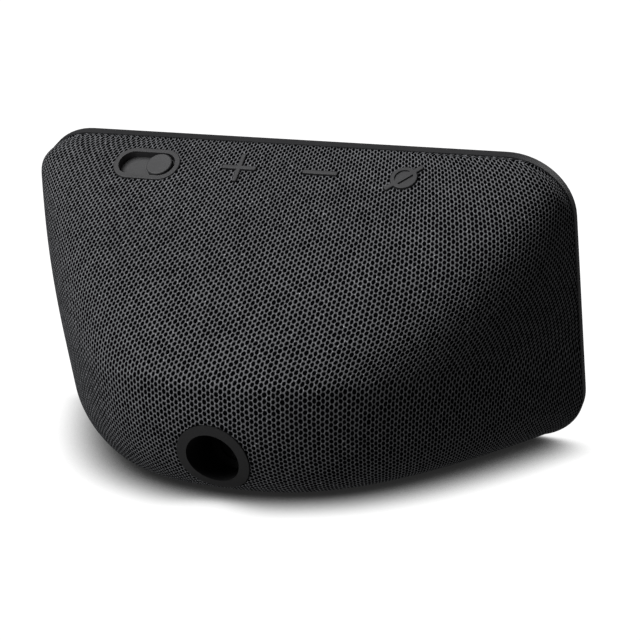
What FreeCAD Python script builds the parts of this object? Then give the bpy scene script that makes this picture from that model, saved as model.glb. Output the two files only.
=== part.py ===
import FreeCAD, Part
import math, os

# Smart home hub, seen from behind: a wedge-shaped table device. A leaning
# display panel closes the front, a knitted cover wraps a one-piece rear shell,
# three raised buttons and a camera-shutter slider sit on the upper slope and a
# round power inlet sits low on the back.
# Frame: +X to the right for a person facing the screen, +Y to the back,
# +Z up. The origin is the middle of the footprint's box, on the table.

V = FreeCAD.Vector
os.makedirs("parts", exist_ok=True)

# ---------------------------------------------------------------- dimensions
WIDTH = 147.0            # across the display panel
DEPTH = 89.5             # panel's lower front edge to the rearmost skin
HALF_DEPTH = 44.84       # half of the overall depth, puts the origin mid-footprint
LEAN = 20.3              # panel leans back, degrees from vertical
SLANT = 84.5             # panel height measured along its slope
PANEL_Z = 1.65           # panel's lower edge above the table
RIM = 2.65               # panel thickness at the rim
R_TOP = 16.8             # panel corner radius, upper corners
R_LOW = 15.6             # panel corner radius, lower corners
SKIN_IN = 0.3            # cover sits this far inside the panel's outline
SKIN_BASE = 1.25         # underside of the cover above the table

SLOPE = 39.4             # upper slope leaves the panel's top edge, degrees below level
CREST_Z = 30.0           # height of the rearmost line
SLOPE_PULL = 38.0        # straight run of the upper slope before it rolls over
CREST_PULL = 4.6
UNDERCUT = 19.5          # how far the back pulls in again down to the table
SIDE_A0, SIDE_A1 = 9.2, 14.0     # plan angle of the sides: at the top edge, and gain with depth
SIDE_C0, SIDE_C1 = 0.98, -0.10
BACK_C0, BACK_C1 = 0.86, -0.60

COVER_T = 0.8            # knitted cover with its backing
GLUE = 0.08              # glue line under the cover
SHELL_T = 2.0            # rear shell wall

BUTTON_X = (11.0, -11.0, -33.0)  # volume up, volume down, microphone off
BUTTON_ARC = 9.1         # buttons' row below the top edge, along the skin
BUTTON_L = 9.35          # plus and minus bar length
BAR_W = 1.2
MUTE_D = 6.95
SLASH_L = 11.3
BUTTON_UP = 0.55         # symbols stand proud of the cover
BUTTON_TRAVEL = 0.4
GAP = 0.15               # clearance around a button in its hole

SLIDER_X = 36.9
SLIDER_DOWN = 0.6
TRAY_L, TRAY_H = 18.6, 10.3      # slider surround
SLOT_L, SLOT_H = 15.9, 7.7       # its inside
KNOB_D = 7.0
SLIDE = 7.2              # shutter travel
KNOB_X0 = SLIDER_X - SLIDE / 2

JACK_X, JACK_Z = -1.4, 11.6
JACK_R = 9.1             # collar rim
JACK_BORE_R = 6.65       # plug recess
JACK_DEPTH = 14.0
JACK_FLOOR_Y = 70.5      # recess floor, measured from the panel's lower front edge

SPEAKER_Y = 64.5         # speaker centre on the skin
SPEAKER_R = 21.5         # 43 mm full-range driver

CAM_X, CAM_V = 49.0, 75.9        # camera on the panel
ACTIVE_W, ACTIVE_H = 125.0, 62.5
A = WIDTH / 2.0
TH = math.radians(LEAN)


# ------------------------------------------------------------------ helpers
def bez(P0, P1, P2, P3, n):
    out = []
    for i in range(n):
        t = i / (n - 1.0)
        a, b, c, d = (1 - t) ** 3, 3 * (1 - t) ** 2 * t, 3 * (1 - t) * t * t, t ** 3
        out.append((a * P0[0] + b * P1[0] + c * P2[0] + d * P3[0],
                    a * P0[1] + b * P1[1] + c * P2[1] + d * P3[1]))
    return out


def front_y(z):
    """y of the panel's rear plane at height z."""
    by, bz = RIM * math.cos(TH), PANEL_Z - RIM * math.sin(TH)
    return by + (z - bz) * math.tan(TH)


def mid_profile(d=0.0, nu=26, nl=14, z_end=SKIN_BASE):
    """(y, z) of the skin in the middle plane, moved inward by d, down to z_end."""
    by, bz = RIM * math.cos(TH), PANEL_Z - RIM * math.sin(TH)
    u = (math.sin(TH), math.cos(TH))
    T = (by + (SLANT - SKIN_IN) * u[0], bz + (SLANT - SKIN_IN) * u[1])
    be = math.radians(SLOPE)
    Rr = (DEPTH, CREST_Z)
    up = bez(T, (T[0] + SLOPE_PULL * math.cos(be), T[1] - SLOPE_PULL * math.sin(be)),
             (Rr[0], Rr[1] + CREST_PULL), Rr, 200)
    low = []
    for i in range(1, 121):
        a = math.pi / 2 * i / 120.0
        low.append((Rr[0] - UNDERCUT * (1 - math.cos(a)), Rr[1] * (1 - math.sin(a))))
    pts = up + low
    if d:
        q = []
        for i in range(len(pts)):
            a, b = pts[max(i - 1, 0)], pts[min(i + 1, len(pts) - 1)]
            ty, tz = b[0] - a[0], b[1] - a[1]
            l = math.hypot(ty, tz)
            q.append((pts[i][0] + d * tz / l, pts[i][1] - d * ty / l))
        pts = q
        if d < 0:   # extend up to the panel plane
            a, b = pts[0], pts[1]
            k = 6.0 / math.hypot(b[0] - a[0], b[1] - a[1])
            pts = [(a[0] - (b[0] - a[0]) * k, a[1] - (b[1] - a[1]) * k)] + pts
        # start where the moved curve meets the panel's rear plane
        for i in range(len(pts) - 1):
            f0, f1 = pts[i][0] - front_y(pts[i][1]), pts[i + 1][0] - front_y(pts[i + 1][1])
            if f0 <= 0 < f1 or (f0 < 1e-9 and f1 > 1e-9):
                t = -f0 / (f1 - f0)
                pts = [(pts[i][0] + t * (pts[i + 1][0] - pts[i][0]),
                        pts[i][1] + t * (pts[i + 1][1] - pts[i][1]))] + pts[i + 1:]
                break
    for i in range(len(pts) - 1):
        if pts[i][1] >= z_end > pts[i + 1][1]:
            t = (pts[i][1] - z_end) / (pts[i][1] - pts[i + 1][1])
            pts = pts[:i + 1] + [(pts[i][0] + t * (pts[i + 1][0] - pts[i][0]), z_end)]
            break
    # resample evenly along its length
    s = [0.0]
    for i in range(1, len(pts)):
        s.append(s[-1] + math.hypot(pts[i][0] - pts[i - 1][0], pts[i][1] - pts[i - 1][1]))
    n = nu + nl
    out, k = [], 0
    for i in range(n):
        t = s[-1] * i / (n - 1.0)
        while k < len(s) - 2 and s[k + 1] < t:
            k += 1
        f = (t - s[k]) / (s[k + 1] - s[k])
        out.append((pts[k][0] + f * (pts[k + 1][0] - pts[k][0]),
                    pts[k][1] + f * (pts[k + 1][1] - pts[k][1])))
    return out


def section(y, z, d=0.0, nt=41, corners=False):
    """Plan curve of the skin at height z, from +X side round the back to -X."""
    by, bz = RIM * math.cos(TH), PANEL_Z - RIM * math.sin(TH)
    ins = SKIN_IN + d
    v = (z - bz) / math.cos(TH)
    aw = A - ins
    Rb = max(R_LOW - d, 1.0)
    S1 = SLANT - ins
    Rt = max(R_TOP - ins, 1.0)
    if corners and v > S1 - Rt:
        aw = A - ins - Rt + math.sqrt(max(0.0, Rt * Rt - (v - (S1 - Rt)) ** 2))
    if v < ins + Rb:
        aw = A - ins - Rb + math.sqrt(max(0.0, Rb * Rb - min(Rb, ins + Rb - v) ** 2))
    yf = front_y(z)
    D = max(y - yf, 0.0)
    q = D / 90.0
    al = math.radians(SIDE_A0 + SIDE_A1 * q)
    c1 = SIDE_C0 + SIDE_C1 * q
    c2 = BACK_C0 + BACK_C1 * q
    h = bez((aw, 0), (aw - c1 * D * math.tan(al), c1 * D), (c2 * aw, D), (0, D), nt // 2 + 1)
    f = h + [(-x, yy) for x, yy in h[::-1][1:]]
    return [(x, yf + yy, z) for x, yy in f]


def prism_outline(ins, w0, w1):
    """Panel outline inset by ins, between depths w0 and w1, in panel coordinates."""
    a, v0, v1 = A - ins, ins, SLANT - ins
    rt, rb = R_TOP - ins, R_LOW - ins
    if rt < 0.5: rt = 0.5
    if rb < 0.5: rb = 0.5
    def arc(cx, cv, r, t0):
        p = [V(cx + r * math.cos(math.radians(t)), w0, cv + r * math.sin(math.radians(t))) for t in (t0, t0 + 45, t0 + 90)]
        return Part.Arc(*p).toShape(), p[0], p[2]
    e = []
    arcs = [arc(a - rt, v1 - rt, rt, 0), arc(-a + rt, v1 - rt, rt, 90),
            arc(-a + rb, v0 + rb, rb, 180), arc(a - rb, v0 + rb, rb, 270)]
    for i, (s, p0, p1) in enumerate(arcs):
        e.append(s)
        e.append(Part.LineSegment(p1, arcs[(i + 1) % 4][1]).toShape())
    f = Part.Face(Part.Wire(Part.__sortEdges__(e)))
    return f.extrude(V(0, w1 - w0, 0))


def rr(x0, x1, v0, v1, r, w0, w1):
    """Rounded-rectangle plate in panel coordinates."""
    b = Part.makeBox(x1 - x0, w1 - w0, v1 - v0, V(x0, w0, v0))
    if r > 0:
        es = [e for e in b.Edges if abs(e.Vertexes[0].Point.y - e.Vertexes[1].Point.y) > (w1 - w0) * 0.9]
        b = b.makeFillet(r, es)
    return b


def cyl_w(x, v, r, w0, w1):
    return Part.makeCylinder(r, w1 - w0, V(x, w0, v), V(0, 1, 0))


def to_panel(s):
    s = s.copy()
    s.rotate(V(0, 0, 0), V(1, 0, 0), -LEAN)
    s.translate(V(0, 0, PANEL_Z))
    return s


def box(x0, x1, y0, y1, z0, z1):
    return Part.makeBox(x1 - x0, y1 - y0, z1 - z0, V(x0, y0, z0))


def cyl(p, r, h, d):
    return Part.makeCylinder(r, h, V(*p), V(*d))


def body(d, plane_w, z_end):
    """Solid of everything inside the skin moved inward by d, behind the
    panel's rear plane (moved back by plane_w) and above z_end."""
    prof = mid_profile(d, z_end=z_end)
    rows = [[V(*p) for p in section(y, z, d)] for y, z in prof]
    # straight first row: the top edge
    surf = Part.BSplineSurface()
    surf.interpolate(rows)
    rear = surf.toShape()
    us = (surf.bounds()[0], surf.bounds()[1])
    vs = (surf.bounds()[2], surf.bounds()[3])
    e_side1 = surf.vIso(vs[0]).toShape()
    e_side2 = surf.vIso(vs[1]).toShape()
    e_top = surf.uIso(us[0]).toShape()
    e_low = surf.uIso(us[1]).toShape()
    pl, pr = rows[-1][0], rows[-1][-1]
    e_front = Part.makeLine(pl, pr)
    front = Part.Face(Part.Wire(Part.__sortEdges__([e_top, e_side1, e_side2, e_front])))
    floor = Part.Face(Part.Wire(Part.__sortEdges__([e_low, e_front])))
    shell = Part.makeShell([rear, front, floor])
    shell.sewShape()
    s = Part.makeSolid(Part.Shell(shell.Faces) if shell.ShapeType != "Shell" else shell)
    if s.Volume < 0:
        s.reverse()
    # upper corners follow the panel's rounded outline
    ins = SKIN_IN + d
    pts_top = []
    S1, Rt = SLANT - ins, max(R_TOP - ins, 1.0)
    by, bz = RIM * math.cos(TH), PANEL_Z - RIM * math.sin(TH)
    def zof(v): return bz + v * math.cos(TH)
    def arc(sign):
        p = []
        for i in range(0, 13):
            f = math.pi / 2 * i / 12.0
            p.append(V(sign * (A - ins - Rt + Rt * math.cos(f)), -5, zof(S1 - Rt + Rt * math.sin(f))))
        c = Part.BSplineCurve()
        c.interpolate(p)
        return c.toShape(), p[0], p[-1]
    ar, a0, a1 = arc(1)
    al, b0, b1 = arc(-1)
    lo = -20.0
    big = A + 10
    if b1.sub(a1).Length > 1e-6:
        top_line = [Part.makeLine(a1, b1)]
    else:
        top_line = []
    w = Part.Wire(Part.__sortEdges__([ar, al, Part.makeLine(a0, V(A - ins, -5, lo)),
                                      Part.makeLine(V(A - ins, -5, lo), V(-A + ins, -5, lo)),
                                      Part.makeLine(V(-A + ins, -5, lo), b0)] + top_line))
    prism = Part.Face(w).extrude(V(0, 130, 0))
    s = s.common(prism)
    if plane_w > 0:
        cut = Part.makeBox(400, 400, 400, V(-200, -400, -200))
        cut.translate(V(0, RIM + plane_w, 0))
        cut = to_panel(cut)
        s = s.cut(cut)
    s = biggest(s)
    return s


def biggest(s):
    so = s.Solids
    if not so:
        raise ValueError("no solid left")
    return max(so, key=lambda k: k.Volume)


# numeric skin for placing things on it
_rows = [section(y, z, 0.0, 81) for y, z in mid_profile(0.0, 60, 30)]
_len = [0.0]
_pp = mid_profile(0.0, 60, 30)
for _i in range(1, len(_pp)):
    _len.append(_len[-1] + math.hypot(_pp[_i][0] - _pp[_i - 1][0], _pp[_i][1] - _pp[_i - 1][1]))


def lerp(xs, ys, x):
    if x <= xs[0]: return ys[0]
    for i in range(len(xs) - 1):
        if x <= xs[i + 1]:
            return ys[i] + (ys[i + 1] - ys[i]) * (x - xs[i]) / (xs[i + 1] - xs[i])
    return ys[-1]


def y_at(row, x):
    r = _rows[row][::-1]
    return lerp([p[0] for p in r], [p[1] for p in r], x)


def skin_point(x, arc):
    """Point on the skin at x whose height is that of the middle profile at this arc length."""
    z = lerp(_len, [p[1] for p in _pp], arc)
    zs = [r[0][2] for r in _rows]
    for i in range(len(zs) - 1):
        if zs[i] >= z >= zs[i + 1]:
            f = (zs[i] - z) / (zs[i] - zs[i + 1])
            return V(x, y_at(i, x) * (1 - f) + y_at(i + 1, x) * f, z)


def skin_frame(x, arc, down=0.0):
    P = skin_point(x, arc)
    a, b = skin_point(x, arc - 1.5), skin_point(x, arc + 1.5)
    up = a.sub(b); up.normalize()
    P = P.sub(up * down)
    l, r = skin_point(x + 2.0, arc), skin_point(x - 2.0, arc)
    right = r.sub(l); right.normalize()
    n = right.cross(up); n.normalize()
    up = n.cross(right)
    return P, right, up, n


def place(s, fr):
    """Local X to the right for a person behind the hub, Y up the slope, Z outward."""
    P, ex, ey, ez = fr
    m = FreeCAD.Matrix(ex.x, ey.x, ez.x, P.x, ex.y, ey.y, ez.y, P.y, ex.z, ey.z, ez.z, P.z, 0, 0, 0, 1)
    s = s.copy()
    s.transformShape(m)
    return s


def stadium(l, h, z0, z1, cx=0.0, cy=0.0):
    r = h / 2.0
    b = Part.makeBox(l - h, h, z1 - z0, V(cx - (l - h) / 2, cy - r, z0))
    s = b.fuse([Part.makeCylinder(r, z1 - z0, V(cx - (l - h) / 2, cy, z0)),
                Part.makeCylinder(r, z1 - z0, V(cx + (l - h) / 2, cy, z0))])
    return s.removeSplitter()


def group(solids):
    return Part.makeCompound(solids)


def tube_path(pts, r):
    """Round lead along straight runs joined by tangent arcs."""
    P = [V(*p) for p in pts]
    edges, start = [], P[0]
    for i in range(1, len(P) - 1):
        a, b, c = P[i - 1], P[i], P[i + 1]
        u, w = a.sub(b), c.sub(b)
        lu, lw = u.Length, w.Length
        u.normalize(); w.normalize()
        turn = math.pi - u.getAngle(w)
        t = 0.45 * min(lu, lw)
        p0, p1 = b.add(u * t), b.add(w * t)
        rad = t / math.tan(turn / 2)
        bis = u.add(w); bis.normalize()
        cen = b.add(bis * (rad / math.cos(turn / 2)))
        mid = cen.sub(bis * rad)
        if p0.sub(start).Length > 1e-6:
            edges.append(Part.LineSegment(start, p0).toShape())
        edges.append(Part.Arc(p0, mid, p1).toShape())
        start = p1
    edges.append(Part.LineSegment(start, P[-1]).toShape())
    w = Part.Wire(edges)
    d = P[1].sub(P[0])
    c = Part.Wire([Part.Circle(P[0], d, r).toShape()])
    return w.makePipeShell([c], True, False)


def ribbon(pts, x0, x1, t):
    """Flat cable: polyline in the (y, z) plane, given thickness, from x0 to x1."""
    n = len(pts)
    L, Rr = [], []
    for i in range(n):
        a, b = pts[max(i - 1, 0)], pts[min(i + 1, n - 1)]
        dy, dz = b[0] - a[0], b[1] - a[1]
        l = math.hypot(dy, dz)
        k = 1.0
        if 0 < i < n - 1:
            d1 = (pts[i][0] - pts[i - 1][0], pts[i][1] - pts[i - 1][1])
            l1 = math.hypot(*d1)
            k = 1.0 / max(0.5, (d1[0] * dy + d1[1] * dz) / (l1 * l))
        L.append((pts[i][0] - dz / l * t / 2 * k, pts[i][1] + dy / l * t / 2 * k))
        Rr.append((pts[i][0] + dz / l * t / 2 * k, pts[i][1] - dy / l * t / 2 * k))
    poly = [V(x0, p[0], p[1]) for p in L + Rr[::-1]]
    poly.append(poly[0])
    return Part.Face(Part.makePolygon(poly)).extrude(V(x1 - x0, 0, 0))


def pw(v, w):
    """Panel (v, w) to hub (y, z)."""
    return (v * math.sin(TH) + w * math.cos(TH), PANEL_Z + v * math.cos(TH) - w * math.sin(TH))


parts = {}

# ------------------------------------------------------------ skin and shell
SHELL_Z = SKIN_BASE + COVER_T + GLUE      # underside of the rear shell
FLOOR_Z = SHELL_Z + SHELL_T               # top of its floor
b0 = body(0.0, 0.02, SKIN_BASE)
b1 = body(COVER_T, 0.0, SKIN_BASE + COVER_T)
b2 = body(COVER_T + GLUE, 0.02, SHELL_Z)
b3 = body(COVER_T + GLUE + SHELL_T, 0.0, FLOOR_Z)

fabric = biggest(b0.cut(b1))
shell = biggest(b2.cut(b3))

frames = [skin_frame(x, BUTTON_ARC) for x in BUTTON_X]
slider_fr = skin_frame(SLIDER_X, BUTTON_ARC, SLIDER_DOWN)


def bar(l, w, z0, z1, ang=0.0, r=0.0):
    b = Part.makeBox(l, w, z1 - z0, V(-l / 2, -w / 2, z0))
    rr_ = min(w, l) * 0.3 + r
    es = [e for e in b.Edges if abs(e.Vertexes[0].Point.z - e.Vertexes[1].Point.z) > (z1 - z0) * 0.9]
    b = b.makeFillet(rr_, es)
    b.rotate(V(0, 0, 0), V(0, 0, 1), ang)
    return b


def symbol(kind, g, z0, z1):
    if kind == "plus":
        return bar(BUTTON_L + 2 * g, BAR_W + 2 * g, z0, z1).fuse(bar(BUTTON_L + 2 * g, BAR_W + 2 * g, z0, z1, 90)).removeSplitter()
    if kind == "minus":
        return bar(BUTTON_L + 2 * g, BAR_W + 2 * g, z0, z1)
    s = Part.makeCylinder(MUTE_D / 2 + g, z1 - z0, V(0, 0, z0))
    return s.fuse(bar(SLASH_L + 2 * g, BAR_W + 0.1 + 2 * g, z0, z1, 45)).removeSplitter()


names = ("volume_up_button", "volume_down_button", "mic_mute_button")
kinds = ("plus", "minus", "mute")
FLANGE_TOP, FLANGE_T = -3.35, 0.8
SWITCH_TOP, SWITCH_BASE = -5.1, -6.6
switch_tools = []
for nm, kd, fr in zip(names, kinds, frames):
    cap = symbol(kd, 0.0, FLANGE_TOP, BUTTON_UP)
    top = [e for e in cap.Edges if all(abs(v.Point.z - BUTTON_UP) < 1e-6 for v in e.Vertexes)]
    try:
        cap = cap.makeFillet(0.22, top)
    except Exception:
        cap = cap.makeChamfer(0.15, top)
    if kd == "mute":
        # two shallow half-round pockets, one on each side of the slash
        pocket = Part.makeCylinder(MUTE_D / 2 - 1.05, 2.0, V(0, 0, BUTTON_UP - 0.42))
        pocket = pocket.cut(bar(SLASH_L + 4, BAR_W + 0.1, -5, 5, 45))
        cap = cap.cut(pocket)
    fl = Part.makeCylinder(6.2 if kd == "mute" else 5.4, FLANGE_T, V(0, 0, FLANGE_TOP - FLANGE_T))
    nub = Part.makeCylinder(0.75, FLANGE_TOP - FLANGE_T - (SWITCH_TOP - 0.15), V(0, 0, SWITCH_TOP - 0.15))
    b = biggest(cap.fuse([fl, nub]))
    parts[nm] = place(b, fr)
    hole = place(symbol(kd, GAP, -4.5, 3.0), fr)
    fabric = fabric.cut(hole)
    shell = shell.cut(hole)

# slider surround: a shallow tray let into cover and shell
FLOOR_N = -1.9
tray = stadium(TRAY_L, TRAY_H, -0.7, 0.35)
tray = tray.makeFillet(0.2, [e for e in tray.Edges if all(abs(v.Point.z - 0.35) < 1e-6 for v in e.Vertexes)])
tray = tray.fuse(stadium(SLOT_L + 1.8, SLOT_H + 1.8, FLOOR_N + 0.15, 0.0))
tray = tray.cut(stadium(SLOT_L, SLOT_H, FLOOR_N - 2, 1.0))
parts["slider_surround"] = place(biggest(tray.removeSplitter()), slider_fr)
fabric = fabric.cut(place(stadium(TRAY_L + 0.2, TRAY_H + 0.2, -3, 4), slider_fr))
shell = shell.cut(place(stadium(TRAY_L + 0.6, TRAY_H + 0.6, -1.1, 4), slider_fr))
shell = shell.cut(place(stadium(SLOT_L + 2.0, SLOT_H + 2.0, -8, 1), slider_fr))
# pocket under the shell for the sliding plate, which closes the opening at both ends
PLATE_L, PLATE_H, PLATE_T = SLOT_L + SLIDE + 1.2, 9.3, 0.7
shell = shell.cut(place(Part.makeBox(PLATE_L + SLIDE + 1.2, PLATE_H + 1.2, 8.0, V(-(PLATE_L + SLIDE + 1.2) / 2, -(PLATE_H + 1.2) / 2, FLOOR_N - 7.85)), slider_fr))

# ------------------------------------------------ power inlet in shell and cover
jx, jz = JACK_X, JACK_Z
skin_y = None
out_b = body(-0.45, 0.02, SKIN_BASE)
rim_zone = out_b.cut(body(COVER_T + 0.02, 0.0, SKIN_BASE + COVER_T))
rim = biggest(rim_zone.common(cyl((jx, 60, jz), JACK_R, 60, (0, 1, 0))))
sleeve = out_b.common(cyl((jx, JACK_FLOOR_Y - 1.6, jz), JACK_BORE_R + 1.1, 60, (0, 1, 0)))
collar = rim.fuse(biggest(sleeve)).cut(cyl((jx, JACK_FLOOR_Y, jz), JACK_BORE_R, 60, (0, 1, 0)))
collar = collar.cut(cyl((jx, JACK_FLOOR_Y - 5, jz), 4.7, 60, (0, 1, 0)))
collar = biggest(collar.removeSplitter())
parts["power_inlet_collar"] = collar
fabric = biggest(fabric.cut(cyl((jx, 60, jz), JACK_R + 0.12, 60, (0, 1, 0))))
shell = shell.cut(cyl((jx, 60, jz), JACK_BORE_R + 1.25, 60, (0, 1, 0)))

# socket block behind the recess floor
sy = JACK_FLOOR_Y - 1.7
sock = box(jx - 6.5, jx + 6.5, sy - 12, sy, jz - 5.5, jz + 5.5)
sock = sock.fuse(cyl((jx, sy - 1, jz), 4.4, 2.2, (0, 1, 0)))
sock = sock.cut(cyl((jx, sy - 9.5, jz), 2.75, 30, (0, 1, 0)))
parts["power_socket"] = biggest(sock)
pin = cyl((jx, sy - 9.4, jz), 0.85, 8.2, (0, 1, 0))
parts["power_socket_pin"] = pin.makeFillet(0.3, [e for e in pin.Edges if all(abs(v.Point.y - (sy - 1.2)) < 1e-6 for v in e.Vertexes)])

# ------------------------------------------------------ speaker in the slope
sa = None
for i in range(len(_pp) - 1):
    if _pp[i][0] <= SPEAKER_Y <= _pp[i + 1][0]:
        sa = _len[i]
sp_fr = skin_frame(0.0, sa)
# sound slots through the shell, hidden under the cover
slots = []
for k in range(-4, 5):
    yy = k * 4.0
    half = math.sqrt(max(0.0, 18.0 ** 2 - yy ** 2))
    if half > 4:
        slots.append(stadium(2 * half, 1.9, -8, 2, 0, yy))
shell = shell.cut([place(s, sp_fr) for s in slots])

RIMN = -(COVER_T + GLUE + SHELL_T) - 1.6       # speaker mounting face under the shell
enc_r = SPEAKER_R + 1.9
gasket = Part.makeCylinder(SPEAKER_R, 0.8, V(0, 0, RIMN - 0.85)).cut(Part.makeCylinder(SPEAKER_R - 2.2, 2, V(0, 0, RIMN - 1.5)))
parts["speaker_gasket"] = place(gasket, sp_fr)
n0 = RIMN - 0.9
basket = Part.makeCylinder(SPEAKER_R, 1.2, V(0, 0, n0 - 1.2)).fuse(
    Part.makeCone(13.0, SPEAKER_R - 2.1, 9.0, V(0, 0, n0 - 10.2)))
basket = basket.cut(Part.makeCone(12.0, SPEAKER_R - 2.9, 9.0, V(0, 0, n0 - 10.2)).fuse(
    Part.makeCylinder(SPEAKER_R - 2.5, 3, V(0, 0, n0 - 1.2))))
basket = basket.fuse(Part.makeCylinder(13.0, 1.0, V(0, 0, n0 - 11.2)).cut(Part.makeCylinder(8.2, 3, V(0, 0, n0 - 12))))
for k in range(6):
    w = Part.makeBox(5.0, 12, 4.2, V(-2.5, 10.5, n0 - 8.6))
    w.rotate(V(0, 0, 0), V(0, 0, 1), 60 * k)
    basket = basket.cut(w)
parts["speaker_basket"] = place(biggest(basket.removeSplitter()), sp_fr)
surround = Part.makeTorus(16.9, 1.15, V(0, 0, n0 - 0.1)).common(Part.makeCylinder(30, 3, V(0, 0, n0 - 0.1)))
surround = surround.cut(Part.makeTorus(16.9, 0.75, V(0, 0, n0 - 0.1)))
surround = surround.fuse(Part.makeCylinder(18.95, 0.35, V(0, 0, n0 - 0.1)).cut(Part.makeCylinder(17.7, 2, V(0, 0, n0 - 1))))
parts["speaker_surround"] = place(biggest(surround), sp_fr)
cone = Part.makeCone(7.6, 15.6, 6.0, V(0, 0, n0 - 6.3)).cut(Part.makeCone(7.2, 15.2, 6.0, V(0, 0, n0 - 5.9)))
cone = cone.cut(Part.makeCylinder(7.15, 20, V(0, 0, n0 - 20)))
parts["speaker_cone"] = place(biggest(cone), sp_fr)
cap_ = Part.makeSphere(10.0, V(0, 0, n0 - 12.2)).common(Part.makeCylinder(7.0, 10, V(0, 0, n0 - 5.2)))
cap_ = cap_.cut(Part.makeSphere(9.6, V(0, 0, n0 - 12.2)))
parts["speaker_dust_cap"] = place(biggest(cap_), sp_fr)
coil = Part.makeCylinder(7.1, 8.0, V(0, 0, n0 - 13.4)).cut(Part.makeCylinder(6.8, 10, V(0, 0, n0 - 14)))
parts["speaker_voice_coil"] = place(coil, sp_fr)
mag = Part.makeCylinder(12.5, 7.6, V(0, 0, n0 - 18.9)).cut(Part.makeCylinder(7.6, 7.0, V(0, 0, n0 - 17.4 + 0.1)))
mag = mag.fuse(Part.makeCylinder(6.3, 6.1, V(0, 0, n0 - 17.4)))
parts["speaker_magnet"] = place(biggest(mag), sp_fr)

# ring glued under the shell that the driver is screwed to
mount = Part.makeCylinder(enc_r, -2.95 - (n0 - 3.2), V(0, 0, n0 - 3.2)).cut(Part.makeCylinder(SPEAKER_R + 0.3, 30, V(0, 0, n0 - 1.3)))
mount = mount.cut(Part.makeCylinder(19.6, 30, V(0, 0, n0 - 10)))
mount = place(mount, sp_fr).common(b3)
scr = []
for k in range(4):
    t = math.radians(45 + 90 * k)
    px, py = 20.4 * math.cos(t), 20.4 * math.sin(t)
    s = Part.makeCylinder(0.45, 2.9, V(px, py, n0 - 2.9)).fuse(Part.makeCylinder(0.8, 0.6, V(px, py, n0 + 0.02)))
    scr.append(place(s, sp_fr))
    hole = place(Part.makeCylinder(0.5, 6, V(px, py, n0 - 3.0)), sp_fr)
    hole2 = place(Part.makeCylinder(0.88, 6, V(px, py, n0 - 0.05)), sp_fr)
    mount = mount.cut(hole)
    parts["speaker_basket"] = biggest(parts["speaker_basket"].cut(hole))
    parts["speaker_gasket"] = biggest(parts["speaker_gasket"].cut(hole2))
parts["speaker_mount"] = biggest(mount)
parts["speaker_screws"] = group(scr)

# -------------------------------------------------------------- front panel
glass_in = 0.75
parts["front_glass"] = to_panel(prism_outline(glass_in, 0.0, 1.1))
frame = prism_outline(0.0, 0.0, RIM)
frame = frame.makeFillet(0.35, [e for e in frame.Edges if all(abs(v.Point.y) < 1e-6 for v in e.Vertexes)])
frame = frame.cut(prism_outline(glass_in - 0.06, -1, 1.16))
LX, LV0, LV1 = 66.2, 7.9, 73.9
frame = frame.cut(rr(-LX, LX, LV0, LV1, 2.0, 0, RIM + 1))
# window for camera and shutter blade
frame = frame.cut(rr(29.0, 57.0, 73.5, 78.9, 0.8, 0.5, RIM + 1))
parts["display_frame"] = frame
lcd = rr(-LX + 0.5, LX - 0.5, LV0 + 0.3, LV1 - 0.3, 1.2, 1.16, 3.3)
parts["display_module"] = to_panel(lcd)
# bonding tape between glass and frame
tape = prism_outline(glass_in + 0.1, 1.105, 1.155).cut(prism_outline(3.2, 0.5, 2.0)).cut(rr(28, 58, 73.5, 81.5, 0.5, 0.5, 2))
parts["glass_tape"] = to_panel(biggest(tape))
# sheet-metal plate behind the display with four ears onto the frame
plate = rr(-64, 64, LV0 + 2.0, LV1 - 1.6, 2.0, 3.36, 4.1)
ears, screws_b = [], []
for sx in (-1, 1):
    for vv in (18.0, 60.0):
        ears.append(rr(min(sx * 60, sx * 69.0), max(sx * 60, sx * 69.0), vv - 3.5, vv + 3.5, 1.0, 3.36, 4.1))
plate = plate.fuse(ears).removeSplitter()
bosses = []
for sx in (-1, 1):
    for vv in (18.0, 60.0):
        c = (sx * 67.25, vv)
        bosses.append(cyl_w(c[0], c[1], 1.3, RIM - 0.2, 3.34))
        plate = plate.cut(cyl_w(c[0], c[1], 1.05, 3, 5))
        screws_b.append(cyl_w(c[0], c[1], 0.85, 1.6, 4.2).fuse(cyl_w(c[0], c[1], 1.5, 4.12, 5.0)))
frame = frame.fuse(bosses)
for sx in (-1, 1):
    for vv in (18.0, 60.0):
        frame = frame.cut(cyl_w(sx * 67.25, vv, 0.9, 1.5, 5))
parts["display_frame"] = to_panel(biggest(frame))
POST = ((-46, 14), (46, 14), (-46, 42), (46, 42))
for x, v in POST:
    plate = plate.cut(cyl_w(x, v, 1.2, 3, 5))
parts["display_plate"] = to_panel(biggest(plate))
parts["display_screws"] = group([to_panel(s) for s in screws_b])

# camera, bracket and shutter
cv = CAM_V
br = rr(27.5, 58.0, 73.0, 79.0, 0.8, 4.15, 4.95)
br = br.fuse([rr(27.5, 28.9, 75.0, 78.5, 0.0, RIM + 0.03, 4.3), rr(57.1, 58.0, 75.0, 78.5, 0.0, RIM + 0.03, 4.3)])
br = br.cut(cyl_w(CAM_X, cv, 2.25, 3, 6))
br = br.cut(rr(KNOB_X0 - 2.4, KNOB_X0 + SLIDE + 2.4, 74.6, 77.4, 0.6, 3, 6))
parts["camera_bracket"] = to_panel(biggest(br.removeSplitter()))
cam = rr(CAM_X - 2.9, CAM_X + 2.9, cv - 2.4, cv + 2.4, 0.5, 5.0, 7.2)
cam = cam.fuse(cyl_w(CAM_X, cv, 2.15, 2.5, 5.2)).cut(cyl_w(CAM_X, cv, 1.5, 2.0, 4.2))
parts["camera_module"] = to_panel(biggest(cam))
lens = cyl_w(CAM_X, cv, 1.42, 2.75, 4.15)
lens = lens.cut(Part.makeSphere(3.0, V(CAM_X, 2.75 - 2.65, cv)))
parts["camera_lens"] = to_panel(biggest(lens))
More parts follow.
